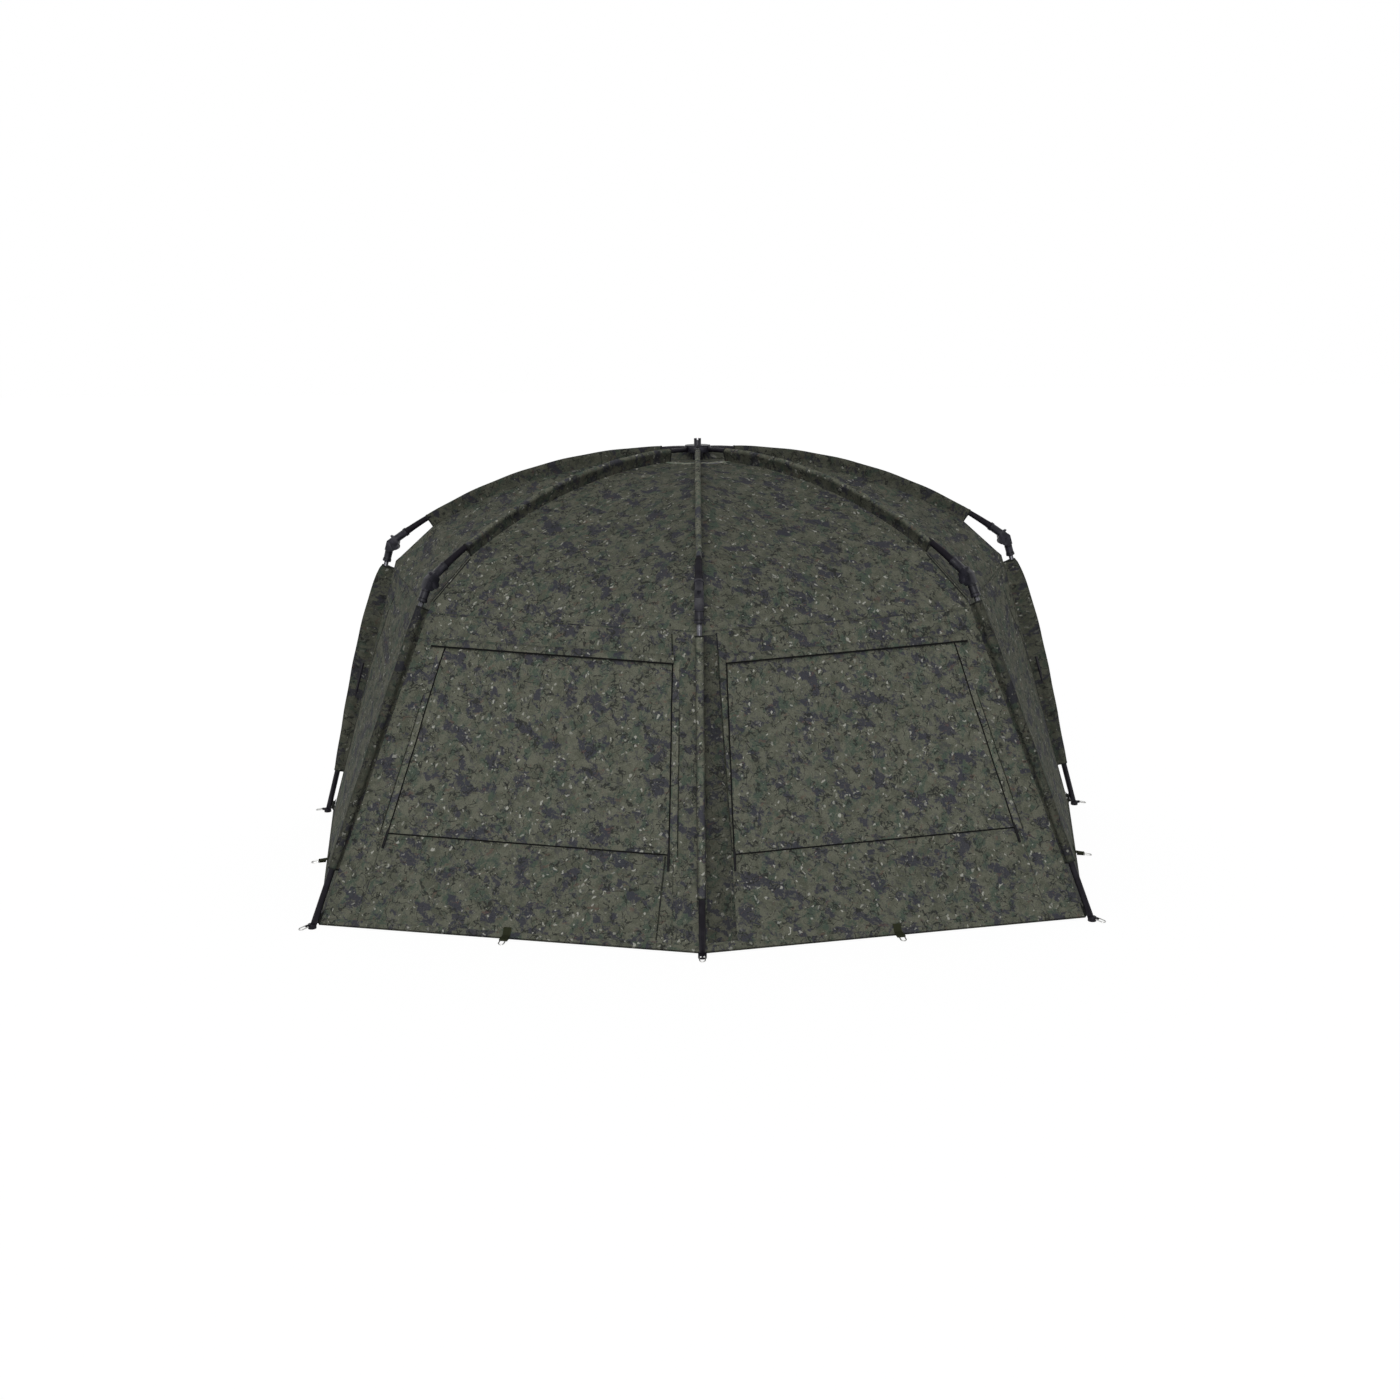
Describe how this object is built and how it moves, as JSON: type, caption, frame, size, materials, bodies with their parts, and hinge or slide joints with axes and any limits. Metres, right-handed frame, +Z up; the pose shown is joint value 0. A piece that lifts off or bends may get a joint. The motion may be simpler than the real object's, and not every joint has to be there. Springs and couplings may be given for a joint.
{
  "type": "bivvy tent",
  "caption": "Domed open-front bivvy tent on a folding rib frame with a central hub, knuckle-jointed legs, sewn camouflage canopy, zipped windows and peg rings.",
  "frame": {"origin": "on the ground, at the middle of the tent's length and width", "axes": "+Z up, the windowed rear faces -Y, the open front faces +Y, +X is the left-hand side seen from the front"},
  "size_m": [2.8914, 2.0331, 1.3868],
  "materials": {
    "camo_cloth": null,
    "sleeve_cloth": "the same printed cloth sewn as pole sleeves",
    "window_cloth": "the same printed cloth, with a rain flap along its top",
    "black_pole": "satin black",
    "grey_pole": "satin dark grey",
    "black_plastic": "satin moulded",
    "ring_metal": "bright wire",
    "zip_black": "matt black"
  },
  "bodies": {
    "hub_and_canopy": {"hub_body": "black_plastic", "hub_cap": "black_plastic", "rear_left_panel": "camo_cloth", "rear_right_panel": "camo_cloth", "side_left_panel": "camo_cloth", "side_right_panel": "camo_cloth", "front_panel": "camo_cloth", "rear_left_window_cover": "window_cloth", "rear_right_window_cover": "window_cloth"},
    "rear_centre_upper": {"rear_centre_upper_pole": "black_pole", "rear_centre_knuckle_upper": "black_plastic", "rear_centre_upper_sleeve": "sleeve_cloth"},
    "rear_centre_lower": {"rear_centre_knuckle_lower": "black_plastic", "rear_centre_lower_pole": "grey_pole", "rear_centre_lower_sleeve": "sleeve_cloth"},
    "rear_centre_leg": {"rear_centre_leg_tube": "black_pole"},
    "rear_centre_peg_ring": {"rear_centre_peg_ring": "ring_metal"},
    "rear_left_upper": {"rear_left_upper_pole": "black_pole", "rear_left_knuckle_upper": "black_plastic", "rear_left_upper_sleeve": "sleeve_cloth"},
    "rear_left_lower": {"rear_left_knuckle_lower": "black_plastic", "rear_left_lower_pole": "grey_pole", "rear_left_lower_sleeve": "sleeve_cloth"},
    "rear_left_leg": {"rear_left_leg_tube": "black_pole"},
    "rear_left_peg_ring": {"rear_left_peg_ring": "ring_metal"},
    "rear_right_upper": {"rear_right_upper_pole": "black_pole", "rear_right_knuckle_upper": "black_plastic", "rear_right_upper_sleeve": "sleeve_cloth"},
    "rear_right_lower": {"rear_right_knuckle_lower": "black_plastic", "rear_right_lower_pole": "grey_pole", "rear_right_lower_sleeve": "sleeve_cloth"},
    "rear_right_leg": {"rear_right_leg_tube": "black_pole"},
    "rear_right_peg_ring": {"rear_right_peg_ring": "ring_metal"},
    "side_left_upper": {"side_left_upper_pole": "black_pole", "side_left_knuckle_upper": "black_plastic", "side_left_upper_sleeve": "sleeve_cloth"},
    "side_left_lower": {"side_left_knuckle_lower": "black_plastic", "side_left_lower_pole": "grey_pole", "side_left_lower_sleeve": "sleeve_cloth"},
    "side_left_leg": {"side_left_leg_tube": "black_pole"},
    "side_left_peg_ring": {"side_left_peg_ring": "ring_metal"},
    "side_right_upper": {"side_right_upper_pole": "black_pole", "side_right_knuckle_upper": "black_plastic", "side_right_upper_sleeve": "sleeve_cloth"},
    "side_right_lower": {"side_right_knuckle_lower": "black_plastic", "side_right_lower_pole": "grey_pole", "side_right_lower_sleeve": "sleeve_cloth"},
    "side_right_leg": {"side_right_leg_tube": "black_pole"},
    "side_right_peg_ring": {"side_right_peg_ring": "ring_metal"},
    "front_right_rib": {"front_right_rib": "black_pole"},
    "front_left_rib": {"front_left_rib": "black_pole"},
    "rear_left_inner_zip_slider": {"rear_left_inner_zip_slider": "zip_black"},
    "rear_left_outer_zip_slider": {"rear_left_outer_zip_slider": "zip_black"},
    "rear_right_inner_zip_slider": {"rear_right_inner_zip_slider": "zip_black"},
    "rear_right_outer_zip_slider": {"rear_right_outer_zip_slider": "zip_black"},
    "rear_left_hem_ring": {"rear_left_hem_ring": "ring_metal"},
    "rear_right_hem_ring": {"rear_right_hem_ring": "ring_metal"},
    "side_left_hem_ring": {"side_left_hem_ring": "ring_metal"},
    "side_right_hem_ring": {"side_right_hem_ring": "ring_metal"}
  },
  "joints": [
    {"name": "rear_centre_fold", "type": "hinge", "parent": "hub_and_canopy", "child": "rear_centre_upper", "pos_m": [0, 0.29811, 1.35], "axis": [1, 0, 0], "range_deg": [0, 68.5], "deforming": ["rear_centre_upper_sleeve", "rear_centre_lower_sleeve", "rear_left_panel", "rear_right_panel", "rear_left_window_cover", "rear_right_window_cover"]},
    {"name": "rear_centre_knuckle", "type": "hinge", "parent": "rear_centre_upper", "child": "rear_centre_lower", "pos_m": [0, -0.75383, 1.00418], "axis": [1, 0, 0], "range_deg": [0, 122.58], "deforming": ["rear_centre_upper_sleeve", "rear_centre_lower_sleeve", "rear_left_panel", "rear_right_panel", "rear_left_window_cover", "rear_right_window_cover"]},
    {"name": "rear_centre_leg_slide", "type": "slide", "parent": "rear_centre_lower", "child": "rear_centre_leg", "axis": [0, 0.1922, 0.9814], "range_m": [0, 0.24], "deforming": ["rear_centre_upper_sleeve", "rear_centre_lower_sleeve", "rear_left_panel", "rear_right_panel", "rear_left_window_cover", "rear_right_window_cover"]},
    {"name": "rear_centre_peg_ring_turn", "type": "hinge", "parent": "rear_centre_leg", "child": "rear_centre_peg_ring", "pos_m": [0, -0.98889, 0.0105], "axis": [1, 0, 0], "range_deg": [-110, 0]},
    {"name": "rear_left_fold", "type": "hinge", "parent": "hub_and_canopy", "child": "rear_left_upper", "pos_m": [-0.03005, 0.31171, 1.35], "axis": [0.66, -0.7513, 0], "range_deg": [0, 68.5], "deforming": ["rear_left_upper_sleeve", "rear_left_lower_sleeve", "rear_left_panel", "side_left_panel", "rear_left_window_cover"]},
    {"name": "rear_left_knuckle", "type": "hinge", "parent": "rear_left_upper", "child": "rear_left_lower", "pos_m": [-0.822, -0.38404, 1.00264], "axis": [0.66, -0.7513, 0], "range_deg": [0, 136.46], "deforming": ["rear_left_upper_sleeve", "rear_left_lower_sleeve", "rear_left_panel", "side_left_panel", "rear_left_window_cover"]},
    {"name": "rear_left_leg_slide", "type": "slide", "parent": "rear_left_lower", "child": "rear_left_leg", "axis": [0.3171, 0.2786, 0.9066], "range_m": [0, 0.24], "deforming": ["rear_left_upper_sleeve", "rear_left_lower_sleeve", "rear_left_panel", "side_left_panel", "rear_left_window_cover"]},
    {"name": "rear_left_peg_ring_turn", "type": "hinge", "parent": "rear_left_leg", "child": "rear_left_peg_ring", "pos_m": [-1.20277, -0.71855, 0.0105], "axis": [0.66, -0.7513, 0], "range_deg": [-110, 0]},
    {"name": "rear_right_fold", "type": "hinge", "parent": "hub_and_canopy", "child": "rear_right_upper", "pos_m": [0.03005, 0.31171, 1.35], "axis": [0.66, 0.7513, 0], "range_deg": [0, 68.5], "deforming": ["rear_right_upper_sleeve", "rear_right_lower_sleeve", "rear_right_panel", "side_right_panel", "rear_right_window_cover"]},
    {"name": "rear_right_knuckle", "type": "hinge", "parent": "rear_right_upper", "child": "rear_right_lower", "pos_m": [0.822, -0.38404, 1.00264], "axis": [0.66, 0.7513, 0], "range_deg": [0, 136.46], "deforming": ["rear_right_upper_sleeve", "rear_right_lower_sleeve", "rear_right_panel", "side_right_panel", "rear_right_window_cover"]},
    {"name": "rear_right_leg_slide", "type": "slide", "parent": "rear_right_lower", "child": "rear_right_leg", "axis": [-0.3171, 0.2786, 0.9066], "range_m": [0, 0.24], "deforming": ["rear_right_upper_sleeve", "rear_right_lower_sleeve", "rear_right_panel", "side_right_panel", "rear_right_window_cover"]},
    {"name": "rear_right_peg_ring_turn", "type": "hinge", "parent": "rear_right_leg", "child": "rear_right_peg_ring", "pos_m": [1.20277, -0.71855, 0.0105], "axis": [0.66, 0.7513, 0], "range_deg": [-110, 0]},
    {"name": "side_left_fold", "type": "hinge", "parent": "hub_and_canopy", "child": "side_left_upper", "pos_m": [-0.03978, 0.34229, 1.35], "axis": [-0.1045, -0.9945, 0], "range_deg": [0, 68.5], "deforming": ["side_left_upper_sleeve", "side_left_lower_sleeve", "side_left_panel", "front_panel"]},
    {"name": "side_left_knuckle", "type": "hinge", "parent": "side_left_upper", "child": "side_left_lower", "pos_m": [-1.08681, 0.45234, 1.00358], "axis": [-0.1045, -0.9945, 0], "range_deg": [0, 127.85], "deforming": ["side_left_upper_sleeve", "side_left_lower_sleeve", "side_left_panel", "front_panel"]},
    {"name": "side_left_leg_slide", "type": "slide", "parent": "side_left_lower", "child": "side_left_leg", "axis": [0.2799, -0.0294, 0.9596], "range_m": [0, 0.24], "deforming": ["side_left_upper_sleeve", "side_left_lower_sleeve", "side_left_panel", "front_panel"]},
    {"name": "side_left_peg_ring_turn", "type": "hinge", "parent": "side_left_leg", "child": "side_left_peg_ring", "pos_m": [-1.41819, 0.48717, 0.0105], "axis": [-0.1045, -0.9945, 0], "range_deg": [-110, 0]},
    {"name": "side_right_fold", "type": "hinge", "parent": "hub_and_canopy", "child": "side_right_upper", "pos_m": [0.03978, 0.34229, 1.35], "axis": [-0.1045, 0.9945, 0], "range_deg": [0, 68.5], "deforming": ["side_right_upper_sleeve", "side_right_lower_sleeve", "side_right_panel", "front_panel"]},
    {"name": "side_right_knuckle", "type": "hinge", "parent": "side_right_upper", "child": "side_right_lower", "pos_m": [1.08681, 0.45234, 1.00358], "axis": [-0.1045, 0.9945, 0], "range_deg": [0, 127.85], "deforming": ["side_right_upper_sleeve", "side_right_lower_sleeve", "side_right_panel", "front_panel"]},
    {"name": "side_right_leg_slide", "type": "slide", "parent": "side_right_lower", "child": "side_right_leg", "axis": [-0.2799, -0.0294, 0.9596], "range_m": [0, 0.24], "deforming": ["side_right_upper_sleeve", "side_right_lower_sleeve", "side_right_panel", "front_panel"]},
    {"name": "side_right_peg_ring_turn", "type": "hinge", "parent": "side_right_leg", "child": "side_right_peg_ring", "pos_m": [1.41819, 0.48717, 0.0105], "axis": [-0.1045, 0.9945, 0], "range_deg": [-110, 0]},
    {"name": "front_right_fold", "type": "hinge", "parent": "hub_and_canopy", "child": "front_right_rib", "pos_m": [0.0212, 0.37203, 1.35], "axis": [-0.848, 0.5299, 0], "range_deg": [0, 74], "deforming": ["front_panel"]},
    {"name": "front_left_fold", "type": "hinge", "parent": "hub_and_canopy", "child": "front_left_rib", "pos_m": [-0.0212, 0.37203, 1.35], "axis": [-0.848, -0.5299, 0], "range_deg": [0, 74], "deforming": ["front_panel"]},
    {"name": "rear_left_inner_zip_slider_run", "type": "slide", "parent": "rear_left_lower", "child": "rear_left_inner_zip_slider", "axis": [0.0309, 0.212, 0.9768], "range_m": [0, 0.564]},
    {"name": "rear_left_outer_zip_slider_run", "type": "slide", "parent": "rear_left_lower", "child": "rear_left_outer_zip_slider", "axis": [0.2936, 0.2785, 0.9145], "range_m": [0, 0.602]},
    {"name": "rear_right_inner_zip_slider_run", "type": "slide", "parent": "rear_right_lower", "child": "rear_right_inner_zip_slider", "axis": [-0.0309, 0.212, 0.9768], "range_m": [0, 0.564]},
    {"name": "rear_right_outer_zip_slider_run", "type": "slide", "parent": "rear_right_lower", "child": "rear_right_outer_zip_slider", "axis": [-0.2936, 0.2785, 0.9145], "range_m": [0, 0.602]},
    {"name": "rear_left_hem_ring_turn", "type": "hinge", "parent": "rear_left_lower", "child": "rear_left_hem_ring", "pos_m": [-0.59117, -0.84511, 0.0105], "axis": [0.9766, -0.2149, 0], "range_deg": [-100, 0]},
    {"name": "rear_right_hem_ring_turn", "type": "hinge", "parent": "rear_right_lower", "child": "rear_right_hem_ring", "pos_m": [0.59117, -0.84511, 0.0105], "axis": [0.9766, 0.2149, 0], "range_deg": [-100, 0]},
    {"name": "side_left_hem_ring_turn", "type": "hinge", "parent": "side_left_lower", "child": "side_left_hem_ring", "pos_m": [-1.30001, -0.10844, 0.0105], "axis": [0.1732, -0.9849, 0], "range_deg": [-100, 0]},
    {"name": "side_right_hem_ring_turn", "type": "hinge", "parent": "side_right_lower", "child": "side_right_hem_ring", "pos_m": [1.30001, -0.10844, 0.0105], "axis": [0.1732, 0.9849, 0], "range_deg": [-100, 0]}
  ],
  "couplings": [
    {"joint": "rear_centre_knuckle", "follows": "rear_centre_fold", "ratio": 1.7895},
    {"joint": "rear_centre_leg_slide", "follows": "rear_centre_fold", "m_per_rad": 0.20074},
    {"joint": "rear_left_knuckle", "follows": "rear_left_fold", "ratio": 1.9921},
    {"joint": "rear_left_leg_slide", "follows": "rear_left_fold", "m_per_rad": 0.20074},
    {"joint": "rear_right_knuckle", "follows": "rear_right_fold", "ratio": 1.9921},
    {"joint": "rear_right_leg_slide", "follows": "rear_right_fold", "m_per_rad": 0.20074},
    {"joint": "side_left_knuckle", "follows": "side_left_fold", "ratio": 1.8664},
    {"joint": "side_left_leg_slide", "follows": "side_left_fold", "m_per_rad": 0.20074},
    {"joint": "side_right_knuckle", "follows": "side_right_fold", "ratio": 1.8664},
    {"joint": "side_right_leg_slide", "follows": "side_right_fold", "m_per_rad": 0.20074},
    {"joint": "front_left_fold", "follows": "front_right_fold", "ratio": 1}
  ]
}
